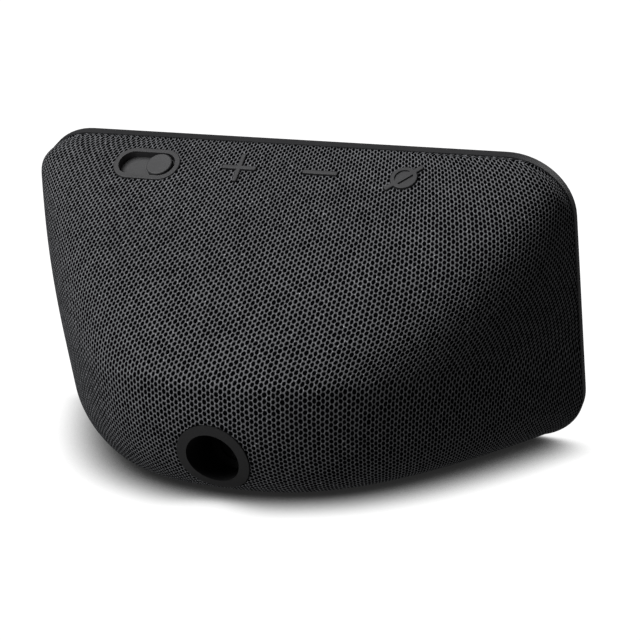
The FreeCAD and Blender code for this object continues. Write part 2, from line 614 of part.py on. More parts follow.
parts["light_sensor"] = to_panel(rr(53.4, 55.6, cv - 0.9, cv + 0.9, 0.2, 2.4, 4.1))
blade = rr(KNOB_X0 - 2.0, KNOB_X0 + 11.6, 74.4, 77.4, 0.6, 1.5, 1.9)
leg = rr(KNOB_X0 - 1.9, KNOB_X0 + 1.9, 75.2, 76.8, 0.0, 1.7, 12.5)
blade = to_panel(biggest(blade.fuse(leg).removeSplitter()))

# knob with its stem, and the carriage it is pressed into under the tray
kx = SLIDE / 2           # local x runs towards -X
knob = Part.makeCylinder(KNOB_D / 2, 0.55 - FLOOR_N + 0.2, V(kx, 0, FLOOR_N - 0.2))
knob = knob.makeFillet(0.35, [e for e in knob.Edges if all(abs(v.Point.z - 0.55) < 1e-6 for v in e.Vertexes)])
knob = knob.fuse([stadium(PLATE_L, PLATE_H, FLOOR_N - PLATE_T + 0.05, FLOOR_N + 0.05, kx, 0), Part.makeBox(2.4, 1.9, 1.4, V(kx - 1.2, -0.95, FLOOR_N - 1.6))])
parts["slider_knob"] = place(biggest(knob.removeSplitter()), slider_fr)
car = Part.makeBox(7.0, 5.0, 0.9, V(kx - 3.5, -2.5, FLOOR_N - 1.9))
car = place(car, slider_fr)
blade = blade.cut(place(Part.makeBox(9.0, 7.0, 2.0, V(kx - 4.5, -3.5, FLOOR_N - 1.92)), slider_fr))
parts["shutter_blade"] = biggest(blade)
car = car.cut(place(Part.makeBox(2.44, 1.94, 3.0, V(kx - 1.22, -0.97, FLOOR_N - 1.65)), slider_fr))
parts["shutter_carriage"] = biggest(car)

# ---------------------------------------------------------- buttons' board
bf = skin_frame(-11.0, BUTTON_ARC)
board = Part.makeBox(63.0, 10.4, 1.0, V(-33.0, -5.6, SWITCH_BASE - 1.0))
switches, sw_holes = [], []
for fr in frames:
    sw = Part.makeBox(4.2, 4.2, SWITCH_TOP - SWITCH_BASE + 0.6, V(-2.1, -2.1, SWITCH_BASE - 0.6))
    sw = sw.cut(Part.makeCylinder(0.95, 1.2, V(0, 0, SWITCH_TOP - 1.1)))
    sw = place(sw, fr)
    switches.append(sw)
board = place(board, bf)
mics = []
for mx in (0.0, -22.0):
    m = Part.makeBox(3.5, 2.6, 1.0, V(-(mx + 11.0) - 1.75, -1.3, SWITCH_BASE + 0.02))
    mics.append(place(m, bf))
    shell = shell.cut(place(Part.makeCylinder(0.6, 8, V(-(mx + 11.0), 0, -6)), bf))
switches = [biggest(s.cut(board)) for s in switches]
parts["button_board"] = board
parts["button_switches"] = group(switches)
parts["microphones"] = group(mics)

# ------------------------------------------------------------- electronics
BW0, BW1 = 9.4, 10.4
mb = rr(-52, 52, 10.0, 46.0, 1.5, BW0, BW1)
posts, bscr = [], []
for x, v in POST:
    posts.append(to_panel(cyl_w(x, v, 2.2, 4.13, BW0 - 0.02).fuse(cyl_w(x, v, 1.15, 3.4, 4.2)).cut(cyl_w(x, v, 0.85, 5.5, 12))))
    mb = mb.cut(cyl_w(x, v, 1.1, 9, 11))
    bscr.append(to_panel(cyl_w(x, v, 0.8, 6.2, BW1 + 0.1).fuse(cyl_w(x, v, 1.8, BW1 + 0.02, BW1 + 1.1))))
parts["main_board"] = to_panel(mb)
parts["board_posts"] = group(posts)
parts["board_screws"] = group(bscr)
parts["processor_chip"] = to_panel(rr(-19, -5, 23, 37, 0.4, BW1 + 0.02, BW1 + 1.5))
parts["memory_chips"] = group([to_panel(rr(-30, -22, 20, 31, 0.2, BW1 + 0.02, BW1 + 1.0)), to_panel(rr(-2, 6, 20, 31, 0.2, BW1 + 0.02, BW1 + 1.0))])
can = rr(-32.5, 8.5, 17.5, 42.5, 1.0, BW1 + 0.02, BW1 + 2.9).cut(rr(-32.2, 8.2, 17.8, 42.2, 0.7, BW1 - 1, BW1 + 2.6))
parts["shield_can"] = to_panel(can)
hs = rr(-34, 10, 16.5, 43.5, 1.0, BW1 + 3.0, BW1 + 4.2)
hs = hs.fuse([rr(-34 + 7.1 * i, -34 + 7.1 * i + 1.3, 17.0, 43.0, 0.0, BW1 + 4.1, BW1 + 8.0) for i in range(7)])
parts["heat_sink"] = to_panel(biggest(hs.removeSplitter()))
parts["board_connectors"] = group([to_panel(rr(16, 24, 12.0, 17.0, 0.3, BW1 + 0.02, BW1 + 3.2)),
                                   to_panel(rr(26, 33, 39.5, 44.0, 0.3, BW1 + 0.02, BW1 + 3.0))])

# flat cables and leads
disp = [pw(9.0, 3.34), pw(9.0, 6.2), pw(10.0, 7.9), pw(12.4, 8.5), pw(14.6, 9.2)]
parts["display_flex"] = ribbon(disp, -15, 15, 0.25)
camf = [pw(cv, 7.36), pw(cv - 3.5, 8.4), pw(60, 9.9), pw(50, 11.0), pw(45.5, 10.7)]
parts["camera_flex"] = ribbon(camf, 47.2, 50.8, 0.22)
q = bf[0].sub(bf[3] * (-(SWITCH_BASE - 1.0) + 0.25)).sub(bf[2] * 4.0)
bq = [q.add(bf[2] * 1.5), q.sub(bf[2] * 0.3).sub(bf[3] * 0.3), q.sub(bf[2] * 1.0).sub(bf[3] * 2.2)]
btnf = [(p.y, p.z) for p in bq] + [pw(60, 12.6), pw(50, 12.4), pw(44.9, 10.7)]
parts["button_flex"] = ribbon(btnf, -6.0, 0.0, 0.22)
by_, bz_ = pw(14.5, BW1 + 3.2)
leads = []
for o in (-1.3, 1.3):
    leads.append(tube_path([(jx + o, sy - 12.05, jz), (jx + o, sy - 20, jz - 0.3), (10.0 + o, 36.0, jz - 1.4), (20.0 + o, by_ + 8.0, bz_ + 0.2), (20.0 + o, by_ + 0.45, bz_ - 0.1)], 0.6))
parts["power_lead"] = group(leads)
by2, bz2 = pw(41.8, BW1 + 3.0)
leads = []
for o in (-1.0, 1.0):
    p0 = sp_fr[0].add(sp_fr[1] * (-13.5 + o)).add(sp_fr[2] * 13.6).add(sp_fr[3] * -10.4)
    leads.append(tube_path([(p0.x, p0.y, p0.z), (p0.x + 2.0, p0.y - 5.0, p0.z - 3.5), (26.0 + o, by2 + 12.0, bz2 + 8.0), (29.5 + o, by2 + 5.0, bz2 + 1.0), (29.5 + o, by2 + 0.45, bz2 - 0.2)], 0.5))
parts["speaker_lead"] = group(leads)

# ---------------------------------------------------------------- the base
def dshape(z_ref, d, z0, z1, front_gap=0.0):
    """Flat plate with the plan of the skin at height z_ref, moved inward by d."""
    prof = mid_profile(d, z_end=max(z_ref - 0.01, SKIN_BASE + d * 0.9))
    prof = sorted(prof, key=lambda p: p[1])
    y = lerp([p[1] for p in prof], [p[0] for p in prof], z_ref)
    pts = [V(x, yy, z0) for x, yy, _z in section(y, z_ref, d, 31)]
    c = Part.BSplineCurve(); c.interpolate(pts)
    f = Part.Face(Part.Wire([c.toShape(), Part.makeLine(pts[-1], pts[0])]))
    s = f.extrude(V(0, 0, z1 - z0))
    if front_gap:
        yf = front_y(z_ref) + front_gap
        s = s.cut(box(-200, 200, -50, yf, -5, 50))
    return s


opening = dshape(12.0, 17.5, -1, FLOOR_Z + 0.5, 13.0)
fabric = fabric.cut(opening)
shell = shell.cut(opening)
pad = dshape(12.0, 17.9, FLOOR_Z - 1.75, FLOOR_Z + 0.2, 13.4)
flange = dshape(4.6, 4.0, FLOOR_Z + 0.05, FLOOR_Z + 1.35, 7.0)
base_relief = box(JACK_X - 10.6, JACK_X + 10.6, 67.6, 100, FLOOR_Z - 3, FLOOR_Z + 5)
base = pad.fuse(flange).cut(base_relief).removeSplitter()
foot = dshape(12.0, 18.1, 0.0, FLOOR_Z - 1.8, 13.6)
foot = foot.makeFillet(0.4, [e for e in foot.Edges if all(abs(v.Point.z) < 1e-6 for v in e.Vertexes)])
ring = dshape(12.0, 23.5, -1.0, 0.5, 20.0)
parts["base_foot"] = biggest(foot.cut(ring))
bs = []
# four screws on the flange, over the shell's floor
for x, y in ((-40.0, 15.3), (40.0, 15.3), (-19.8, 67.6), (19.8, 67.6)):
    sc = cyl((x, y, SHELL_Z + 0.5), 0.8, FLOOR_Z + 1.6 - SHELL_Z - 0.4, (0, 0, 1)).fuse(cyl((x, y, FLOOR_Z + 1.58), 1.7, 1.2, (0, 0, 1)))
    bs.append(sc)
    base = base.cut(cyl((x, y, FLOOR_Z - 3), 1.0, 10, (0, 0, 1)))
    shell = shell.cut(cyl((x, y, SHELL_Z + 0.4), 0.82, 5, (0, 0, 1)))
parts["base_plate"] = biggest(base)
parts["base_screws"] = group(bs)

parts["fabric_cover"] = biggest(fabric)
parts["rear_shell"] = biggest(shell)

# ------------------------------------------------------------------- export
SHIFT = V(0, -HALF_DEPTH, 0)
for name, s in sorted(parts.items()):
    s = s.copy()
    s.translate(SHIFT)
    s.exportStep("parts/" + name + ".step")
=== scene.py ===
import bpy, bmesh, math
import numpy as np
from mathutils import Vector, Matrix


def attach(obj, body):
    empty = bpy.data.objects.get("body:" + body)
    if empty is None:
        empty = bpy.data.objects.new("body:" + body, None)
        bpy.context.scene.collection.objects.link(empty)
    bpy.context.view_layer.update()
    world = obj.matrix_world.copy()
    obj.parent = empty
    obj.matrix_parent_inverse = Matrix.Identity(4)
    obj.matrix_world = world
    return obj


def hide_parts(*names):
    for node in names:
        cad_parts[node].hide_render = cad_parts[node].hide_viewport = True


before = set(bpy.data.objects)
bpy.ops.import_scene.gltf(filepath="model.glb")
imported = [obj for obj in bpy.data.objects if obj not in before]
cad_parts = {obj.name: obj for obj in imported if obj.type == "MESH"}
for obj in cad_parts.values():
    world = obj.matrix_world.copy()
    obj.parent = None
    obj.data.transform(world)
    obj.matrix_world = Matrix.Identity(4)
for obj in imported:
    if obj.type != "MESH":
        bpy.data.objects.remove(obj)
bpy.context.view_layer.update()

# ------------------------------------------------------------- dimensions, mm
WIDTH, DEPTH, HALF_DEPTH = 147.0, 89.5, 44.84
LEAN, SLANT, PANEL_Z, RIM = 20.3, 84.5, 1.65, 2.65
R_TOP, R_LOW, SKIN_IN, SKIN_BASE = 16.8, 15.6, 0.3, 1.25
SLOPE, CREST_Z, SLOPE_PULL, CREST_PULL, UNDERCUT = 39.4, 30.0, 38.0, 4.6, 19.5
SIDE_A0, SIDE_A1, SIDE_C0, SIDE_C1 = 9.2, 14.0, 0.98, -0.10
BACK_C0, BACK_C1 = 0.86, -0.60
COVER_T = 0.8
A = WIDTH / 2.0
TH = math.radians(LEAN)
JACK_X, JACK_Z, JACK_R = -1.4, 11.6, 9.1
CAM_X, CAM_V = 49.0, 75.9


def bez(P0, P1, P2, P3, n):
    t = np.linspace(0, 1, n)[:, None]
    P = [np.array(p, float)[None, :] for p in (P0, P1, P2, P3)]
    return (1 - t) ** 3 * P[0] + 3 * (1 - t) ** 2 * t * P[1] + 3 * (1 - t) * t * t * P[2] + t ** 3 * P[3]


BY, BZ = RIM * math.cos(TH), PANEL_Z - RIM * math.sin(TH)


def front_y(z):
    return BY + (z - BZ) * math.tan(TH)


def mid_profile(n, z_end=SKIN_BASE):
    u = (math.sin(TH), math.cos(TH))
    T = (BY + (SLANT - SKIN_IN) * u[0], BZ + (SLANT - SKIN_IN) * u[1])
    be = math.radians(SLOPE)
    R = (DEPTH, CREST_Z)
    up = bez(T, (T[0] + SLOPE_PULL * math.cos(be), T[1] - SLOPE_PULL * math.sin(be)), (R[0], R[1] + CREST_PULL), R, 400)
    a = math.pi / 2 * np.arange(1, 301) / 300.0
    low = np.stack([R[0] - UNDERCUT * (1 - np.cos(a)), R[1] * (1 - np.sin(a))], 1)
    p = np.vstack([up, low])
    k = int(np.argmax(p[:, 1] < z_end))
    f = (p[k - 1, 1] - z_end) / (p[k - 1, 1] - p[k, 1])
    p = np.vstack([p[:k], p[k - 1] + f * (p[k] - p[k - 1])])
    s = np.concatenate([[0], np.cumsum(np.hypot(*np.diff(p, axis=0).T))])
    q = np.linspace(0, s[-1], n)
    return np.stack([np.interp(q, s, p[:, 0]), np.interp(q, s, p[:, 1])], 1), q


def half_section(y, z, n=160):
    """Right half of the skin's plan curve, from the middle of the back to the panel."""
    v = (z - BZ) / math.cos(TH)
    aw = A - SKIN_IN
    if v < SKIN_IN + R_LOW:
        aw = A - SKIN_IN - R_LOW + math.sqrt(max(0.0, R_LOW ** 2 - min(R_LOW, SKIN_IN + R_LOW - v) ** 2))
    yf = front_y(z)
    D = max(y - yf, 0.0)
    q = D / 90.0
    al = math.radians(SIDE_A0 + SIDE_A1 * q)
    c1, c2 = SIDE_C0 + SIDE_C1 * q, BACK_C0 + BACK_C1 * q
    h = bez((aw, 0), (aw - c1 * D * math.tan(al), c1 * D), (c2 * aw, D), (0, D), n)[::-1]
    h[:, 1] += yf
    # upper corners follow the panel's rounded outline
    S1, Rt = SLANT - SKIN_IN, R_TOP - SKIN_IN
    if v > S1 - Rt:
        ac = A - SKIN_IN - Rt + math.sqrt(max(0.0, Rt * Rt - (v - (S1 - Rt)) ** 2))
        if ac < aw:
            yc = float(np.interp(ac, h[:, 0], h[:, 1]))
            h = np.vstack([h[h[:, 0] < ac], [(ac, yc)]])
            if yc - yf > 1e-6:
                w = np.linspace(yc, yf, 24)[1:]
                h = np.vstack([h, np.stack([np.full(len(w), ac), w], 1)])
    return h


def skin_grid(nu, nt):
    """nu rows down the profile, 2 nt - 1 columns round the back; also the arc lengths."""
    prof, s = mid_profile(nu)
    G = np.zeros((nu, 2 * nt - 1, 3))
    Aarc = np.zeros((nu, 2 * nt - 1))
    for i, (y, z) in enumerate(prof):
        h = half_section(y, z)
        l = np.concatenate([[0], np.cumsum(np.hypot(*np.diff(h, axis=0).T))])
        q = np.linspace(0, l[-1], nt)
        x, yy = np.interp(q, l, h[:, 0]), np.interp(q, l, h[:, 1])
        G[i, nt - 1:, 0], G[i, nt - 1:, 1] = x, yy
        G[i, :nt, 0], G[i, :nt, 1] = -x[::-1], yy[::-1]
        Aarc[i, nt - 1:], Aarc[i, :nt] = q, -q[::-1]
        G[i, :, 2] = z
    return G, Aarc, s


def knit_uv(a, s):
    """Lay of the knit: wale pairs across and courses down, as counts."""
    a, s = a / 100.0, s / 100.0
    u = a * (KU[0] + KU[1] * s + KU[2] * s * s) + a ** 3 * (KU[3] + KU[4] * s)
    v = KV[0] * s + KV[1] * s * s + KV[2] * s ** 3 + a * a * (KV[3] + KV[4] * s) + a ** 4 * KV[5]
    return u, v


KU = (-60.222, 38.815, -28.535, 1.457, -2.084)
KV = (71.923, -25.387, 18.117, 7.081, -18.114, -1.846)

MM = 0.001
FR = {   # origin, right (seen from behind), up the slope, outward
    "up": ((11.0, 38.743, 73.950), (-1.0, 0.001422, 0.0), (-0.001104, -0.776573, 0.630026), (0.000896, 0.630026, 0.776574)),
    "down": ((-11.0, 38.743, 73.950), (-1.0, -0.001422, 0.0), (0.001104, -0.776573, 0.630026), (-0.000896, 0.630026, 0.776574)),
    "mute": ((-33.0, 38.611, 73.950), (-0.999903, -0.013895, 0.0), (0.010685, -0.76888, 0.639304), (-0.008883, 0.639242, 0.768954)),
    "slider": ((36.9, 39.006, 73.563), (-0.999822, 0.018863, 0.0), (-0.014434, -0.765044, 0.643816), (0.012145, 0.643702, 0.76518)),
}


def frame_matrix(key):
    P, ex, ey, ez = FR[key]
    M = Matrix(((ex[0], ey[0], ez[0], P[0]), (ex[1], ey[1], ez[1], P[1] - HALF_DEPTH), (ex[2], ey[2], ez[2], P[2]), (0, 0, 0, 1)))
    return M


# ------------------------------------------------------------------- camera
AZ, EL, ROLL, DIST, SC, OX, OY = -20.37, 13.33, 0.34, 493.51, 3.86, -9.12, 3.53
def make_camera():
    az, el, ro = math.radians(AZ), math.radians(EL), math.radians(ROLL)
    c = Vector((math.sin(az) * math.cos(el), math.cos(az) * math.cos(el), math.sin(el)))
    d = -c
    r = d.cross(Vector((0, 0, 1))).normalized()
    u = r.cross(d)
    r2 = r * math.cos(ro) + u * math.sin(ro)
    u2 = -r * math.sin(ro) + u * math.cos(ro)
    C = Vector((0, 35 - HALF_DEPTH, 38)) + c * DIST - r2 * OX - u2 * OY
    cam = bpy.data.cameras.new("camera")
    cam.sensor_width = 36.0
    cam.lens = SC * DIST / 640.0 * 36.0
    cam.clip_start, cam.clip_end = 0.01, 100.0
    ob = bpy.data.objects.new("camera", cam)
    M = Matrix(((r2.x, u2.x, c.x, C.x * MM), (r2.y, u2.y, c.y, C.y * MM), (r2.z, u2.z, c.z, C.z * MM), (0, 0, 0, 1)))
    ob.matrix_world = M
    bpy.context.collection.objects.link(ob)
    bpy.context.scene.camera = ob
    return ob


make_camera()


# ------------------------------------------------------------ node helpers
class G:
    def __init__(self, name):
        self.m = bpy.data.materials.new(name)
        self.m.use_nodes = True
        self.t = self.m.node_tree
        for n in list(self.t.nodes):
            self.t.nodes.remove(n)
        self.out = self.t.nodes.new("ShaderNodeOutputMaterial")
        self.p = self.t.nodes.new("ShaderNodeBsdfPrincipled")
        self.t.links.new(self.p.outputs[0], self.out.inputs[0])

    def n(self, kind, **kw):
        x = self.t.nodes.new(kind)
        for k, v in kw.items():
            setattr(x, k, v)
        return x

    def put(self, sock, v):
        if isinstance(v, bpy.types.NodeSocket):
            self.t.links.new(v, sock)
        elif v is not None:
            sock.default_value = v

    def math(self, op, a, b=None, c=None, clamp=False):
        x = self.n("ShaderNodeMath", operation=op, use_clamp=clamp)
        self.put(x.inputs[0], a); self.put(x.inputs[1], b)
        if c is not None:
            self.put(x.inputs[2], c)
        return x.outputs[0]

    def step(self, x, a, b, lo=0.0, hi=1.0, smooth=True):
        r = self.n("ShaderNodeMapRange", interpolation_type="SMOOTHSTEP" if smooth else "LINEAR")
        self.put(r.inputs[0], x); self.put(r.inputs[1], a); self.put(r.inputs[2], b); self.put(r.inputs[3], lo); self.put(r.inputs[4], hi)
        return r.outputs[0]

    def mix(self, f, a, b):
        x = self.n("ShaderNodeMix", data_type="RGBA")
        self.put(x.inputs[0], f)
        self.put(x.inputs[6], a if isinstance(a, bpy.types.NodeSocket) else (*a, 1.0))
        self.put(x.inputs[7], b if isinstance(b, bpy.types.NodeSocket) else (*b, 1.0))
        return x.outputs[2]

    def pos(self):
        return self.n("ShaderNodeTexCoord").outputs["Object"]

    def noise(self, scale, detail=3.0, rough=0.5, vec=None, dist=0.0):
        x = self.n("ShaderNodeTexNoise")
        x.inputs["Scale"].default_value = scale
        x.inputs["Detail"].default_value = detail
        x.inputs["Roughness"].default_value = rough
        x.inputs["Distortion"].default_value = dist
        self.put(x.inputs["Vector"], vec if vec is not None else self.pos())
        return x.outputs["Fac"]

    def bump(self, h, strength, dist, normal=None):
        x = self.n("ShaderNodeBump")
        x.inputs["Strength"].default_value = strength
        x.inputs["Distance"].default_value = dist
        self.put(x.inputs["Height"], h)
        if normal is not None:
            self.put(x.inputs["Normal"], normal)
        return x.outputs[0]

    def edge(self, dist=0.0006):
        """Painted highlight: brighter where an edge turns outward."""
        b = self.n("ShaderNodeBevel", samples=4)
        b.inputs[0].default_value = dist
        g = self.n("ShaderNodeNewGeometry")
        d = self.n("ShaderNodeVectorMath", operation="DOT_PRODUCT")
        self.put(d.inputs[0], b.outputs[0]); self.put(d.inputs[1], g.outputs["Normal"])
        return self.step(d.outputs["Value"], 0.98, 0.80)


def plastic(name, col, rough=0.5, grain=1400.0, amp=0.10, bump=0.15, var=0.25, spec=0.45, coat=0.0, blotch=60.0):
    g = G(name)
    fine = g.noise(grain, 2.0, 0.6)
    big = g.noise(blotch, 3.0, 0.55)
    f = g.math("ADD", g.math("MULTIPLY", fine, 0.5), g.math("MULTIPLY", big, 0.5))
    lo = tuple(c * (1 - var) for c in col)
    hi = tuple(min(1.0, c * (1 + var)) for c in col)
    g.put(g.p.inputs["Base Color"], g.mix(g.step(f, 0.3, 0.7), lo, hi))
    g.put(g.p.inputs["Roughness"], g.step(big, 0.3, 0.7, rough - amp * 0.5, rough + amp * 0.5, False))
    g.put(g.p.inputs["Normal"], g.bump(fine, bump, 0.00006))
    g.p.inputs["Specular IOR Level"].default_value = spec
    if coat:
        g.p.inputs["Coat Weight"].default_value = coat
        g.p.inputs["Coat Roughness"].default_value = 0.05
    return g.m


def metal(name, col, rough=0.35, brushed=(1.0, 1.0, 1.0), scale=900.0, bump=0.12):
    g = G(name)
    mp = g.n("ShaderNodeMapping")
    g.put(mp.inputs[0], g.pos())
    mp.inputs[3].default_value = brushed
    fine = g.noise(scale, 3.0, 0.6, mp.outputs[0])
    big = g.noise(90.0, 3.0, 0.6)
    g.put(g.p.inputs["Base Color"], g.mix(g.step(big, 0.3, 0.7), tuple(c * 0.82 for c in col), col))
    g.put(g.p.inputs["Roughness"], g.step(fine, 0.25, 0.75, rough * 0.7, rough * 1.3, False))
    g.p.inputs["Metallic"].default_value = 1.0
    g.put(g.p.inputs["Normal"], g.bump(fine, bump, 0.00005))
    return g.m


# ------------------------------------------------------------------ the knit
def knit_material():
    g = G("knit_fabric")
    uv = g.n("ShaderNodeUVMap", uv_map="knit")
    sep = g.n("ShaderNodeSeparateXYZ")
    # slight unevenness of the stitches
    wob = g.n("ShaderNodeTexNoise", noise_dimensions="3D")
    wob.inputs["Scale"].default_value = 420.0
    wob.inputs["Detail"].default_value = 1.5
    g.put(wob.inputs["Vector"], g.pos())
    vm = g.n("ShaderNodeVectorMath", operation="SUBTRACT")
    g.put(vm.inputs[0], wob.outputs["Color"]); vm.inputs[1].default_value = (0.5, 0.5, 0.5)
    vs = g.n("ShaderNodeVectorMath", operation="MULTIPLY")
    g.put(vs.inputs[0], vm.outputs[0]); vs.inputs[1].default_value = (0.26, 0.40, 0.0)
    va = g.n("ShaderNodeVectorMath", operation="ADD")
    g.put(va.inputs[0], uv.outputs[0]); g.put(va.inputs[1], vs.outputs[0])
    g.put(sep.inputs[0], va.outputs[0])
    u, v = sep.outputs[0], sep.outputs[1]

    def cell(off):
        uu, vv = g.math("ADD", u, off), g.math("ADD", v, off)
        iu, iv = g.math("FLOOR", uu), g.math("FLOOR", vv)
        fu = g.math("SUBTRACT", g.math("SUBTRACT", uu, iu), 0.5)
        fv = g.math("SUBTRACT", g.math("SUBTRACT", vv, iv), 0.5)
        cmb = g.n("ShaderNodeCombineXYZ")
        g.put(cmb.inputs[0], iu); g.put(cmb.inputs[1], iv); cmb.inputs[2].default_value = off * 7.3
        wn = g.n("ShaderNodeTexWhiteNoise", noise_dimensions="3D")
        g.put(wn.inputs["Vector"], cmb.outputs[0])
        k = g.step(wn.outputs["Value"], 0.0, 1.0, 1.13, 0.93, False)
        a = g.math("DIVIDE", fu, HOLE_U)
        b = g.math("DIVIDE", fv, HOLE_V)
        d = g.math("SQRT", g.math("ADD", g.math("MULTIPLY", a, a), g.math("MULTIPLY", b, b)))
        return g.math("MULTIPLY", d, k), wn.outputs["Value"]
    dA, rA = cell(0.0)
    dB, rB = cell(0.5)
    m = g.math("SMOOTH_MIN", dA, dB, 0.10)
    closer = g.math("LESS_THAN", dA, dB)
    rnd = g.math("ADD", g.math("MULTIPLY", rA, closer), g.math("MULTIPLY", rB, g.math("SUBTRACT", 1.0, closer)))
    yarn = g.step(m, 0.86, 1.52)
    fibre = g.noise(5200.0, 3.0, 0.7)
    strand = g.noise(1500.0, 2.0, 0.6)
    shade = g.noise(38.0, 2.0, 0.5)
    tone = g.math("MULTIPLY", g.step(fibre, 0.25, 0.75, 0.62, 1.38, False), g.step(rnd, 0.0, 1.0, 0.78, 1.22, False))
    tone = g.math("MULTIPLY", tone, g.step(shade, 0.3, 0.7, 0.90, 1.10, False))
    # painted glints: bright specks mixed into the yarn colour where light would sparkle on the fibres
    glint = g.math("MULTIPLY", g.step(strand, 0.56, 0.74), g.step(fibre, 0.42, 0.66))
    base = g.n("ShaderNodeVectorMath", operation="SCALE")
    base.inputs[0].default_value = YARN
    g.put(base.inputs["Scale"], tone)
    col = g.mix(g.math("MULTIPLY", glint, 0.85), base.outputs[0], GLINT)
    # the holes get a near-black colour: partly the black shell seen through them, partly painted shade inside the
    # openings
    col = g.mix(yarn, HOLE_SHELL_AND_SHADE, col)
    g.put(g.p.inputs["Base Color"], col)
    g.put(g.p.inputs["Roughness"], g.step(fibre, 0.3, 0.7, 0.60, 0.86, False))
    g.put(g.p.inputs["Specular IOR Level"], g.math("MULTIPLY", yarn, 0.30))
    g.put(g.p.inputs["Sheen Weight"], g.math("MULTIPLY", yarn, 0.06))
    g.p.inputs["Sheen Roughness"].default_value = 0.45
    g.p.inputs["Sheen Tint"].default_value = (0.75, 0.80, 0.9, 1.0)
    h = g.math("ADD", g.step(m, 0.55, 1.55), g.math("MULTIPLY", fibre, 0.16))
    g.put(g.p.inputs["Normal"], g.bump(h, 0.75, 0.00030))
    return g.m


HOLE_U, HOLE_V = 0.205, 0.385
YARN = (0.170, 0.172, 0.181)
# colour of the painted glints on the yarn
GLINT = (0.80, 0.81, 0.85)
# colour of the knit holes: the black shell behind plus painted shade
HOLE_SHELL_AND_SHADE = (0.0012, 0.0012, 0.0016)
KNIT = knit_material()


# ---------------------------------------------------------------- the cover
def smooth_grid(G3, it=34):
    """Round the meeting of slope and side over the upper corners."""
    P = G3.copy()
    z = P[..., 2]
    x = np.abs(P[..., 0])
    zc = BZ + (SLANT - R_TOP) * math.cos(TH)
    wz = np.clip((z - (zc - 16.0)) / 12.0, 0, 1)
    wx = np.clip((x - (A - R_TOP - 26.0)) / 12.0, 0, 1)
    w = (wz * wx)[..., None] * 0.5
    w[0] = 0
    w[:, 0] = 0
    w[:, -1] = 0
    # ease to the fixed border
    for k, f in ((1, 0.35), (2, 0.7)):
        w[k] *= f
        w[:, k] *= f
        w[:, -1 - k] *= f
    for _ in range(it):
        Q = P.copy()
        Q[1:-1, 1:-1] = 0.25 * (P[:-2, 1:-1] + P[2:, 1:-1] + P[1:-1, :-2] + P[1:-1, 2:])
        P = P + w * (Q - P)
    return P


def grid_normals(P):
    du, dv = np.gradient(P, axis=0), np.gradient(P, axis=1)
    n = np.cross(du, dv)
    n /= np.maximum(np.linalg.norm(n, axis=2, keepdims=True), 1e-9)
    c = P - np.array([0, 30.0, 30.0])
    if np.sum(n * c) < 0:
        n = -n
    return n


def cover_mesh(name, inset, thick, nu, nt, floor_rows=14):
    P, arc, s = skin_grid(nu, nt)
    P = smooth_grid(P, int(34 * (nu / 132.0) ** 2))
    S2 = np.repeat(s[:, None], P.shape[1], 1)
    U, Vv = knit_uv(arc, S2)
    if inset:
        P = P - grid_normals(P) * inset
        P[..., 2] = np.maximum(P[..., 2], SKIN_BASE + inset)
    rows = [P[i] for i in range(P.shape[0])]
    uvs = [np.stack([U[i], Vv[i]], 1) for i in range(P.shape[0])]
    last, luv = rows[-1], uvs[-1]
    yf = front_y(float(last[0, 2]))
    for k in range(1, floor_rows + 1):
        f = k / floor_rows
        f = f ** 1.3
        r = last.copy()
        r[:, 1] = last[:, 1] + (yf - last[:, 1]) * f
        rows.append(r)
        q = luv.copy()
        q[:, 1] = luv[:, 1] + (last[:, 1] - r[:, 1]) / 1.5
        uvs.append(q)
    rows, uvs = np.array(rows), np.array(uvs)
    R, C = rows.shape[:2]
    co = rows.reshape(-1, 3).copy()
    co[:, 1] -= HALF_DEPTH
    co *= MM
    idx = np.arange(R * C).reshape(R, C)
    f = np.stack([idx[:-1, :-1], idx[:-1, 1:], idx[1:, 1:], idx[1:, :-1]], -1).reshape(-1, 4)
    me = bpy.data.meshes.new(name)
    me.from_pydata([tuple(c) for c in co], [], [tuple(int(q) for q in r) for r in f])
    lay = me.uv_layers.new(name="knit")
    li = np.zeros(len(me.loops), dtype=np.int32)
    me.loops.foreach_get("vertex_index", li)
    lay.data.foreach_set("uv", uvs.reshape(-1, 2)[li].astype(np.float32).ravel())
    bm = bmesh.new()
    bm.from_mesh(me)
    bmesh.ops.remove_doubles(bm, verts=bm.verts, dist=2e-6)
    bmesh.ops.dissolve_degenerate(bm, dist=1e-6, edges=bm.edges)
    bmesh.ops.recalc_face_normals(bm, faces=bm.faces)
    top = max(bm.faces, key=lambda q: q.calc_center_median().y)
    if top.normal.y < 0:
        bmesh.ops.reverse_faces(bm, faces=bm.faces)
    bm.to_mesh(me)
    bm.free()
    for q in me.polygons:
        q.use_smooth = True
    ob = bpy.data.objects.new(name, me)
    bpy.context.collection.objects.link(ob)
    so = ob.modifiers.new("thick", "SOLIDIFY")
    so.thickness = thick * MM
    so.offset = -1.0
    apply_mods(ob)
    return ob


def apply_mods(ob):
    dg = bpy.context.evaluated_depsgraph_get()
    me = bpy.data.meshes.new_from_object(ob.evaluated_get(dg), preserve_all_data_layers=True, depsgraph=dg)
    ob.modifiers.clear()
    old = ob.data
    ob.data = me
    bpy.data.meshes.remove(old)


def prism(name, pts, z0, z1, M):
    """Closed prism over a closed outline, in a local frame M (mm)."""
    bm = bmesh.new()
    a = [bm.verts.new(M @ Vector((x, y, z0)) * MM) for x, y in pts]
    b = [bm.verts.new(M @ Vector((x, y, z1)) * MM) for x, y in pts]
    n = len(pts)
    bm.faces.new(a[::-1]); bm.faces.new(b)
    for i in range(n):
        bm.faces.new((a[i], a[(i + 1) % n], b[(i + 1) % n], b[i]))
    bmesh.ops.recalc_face_normals(bm, faces=bm.faces)
    me = bpy.data.meshes.new(name)
    bm.to_mesh(me); bm.free()
    ob = bpy.data.objects.new(name, me)
    bpy.context.collection.objects.link(ob)
    return ob


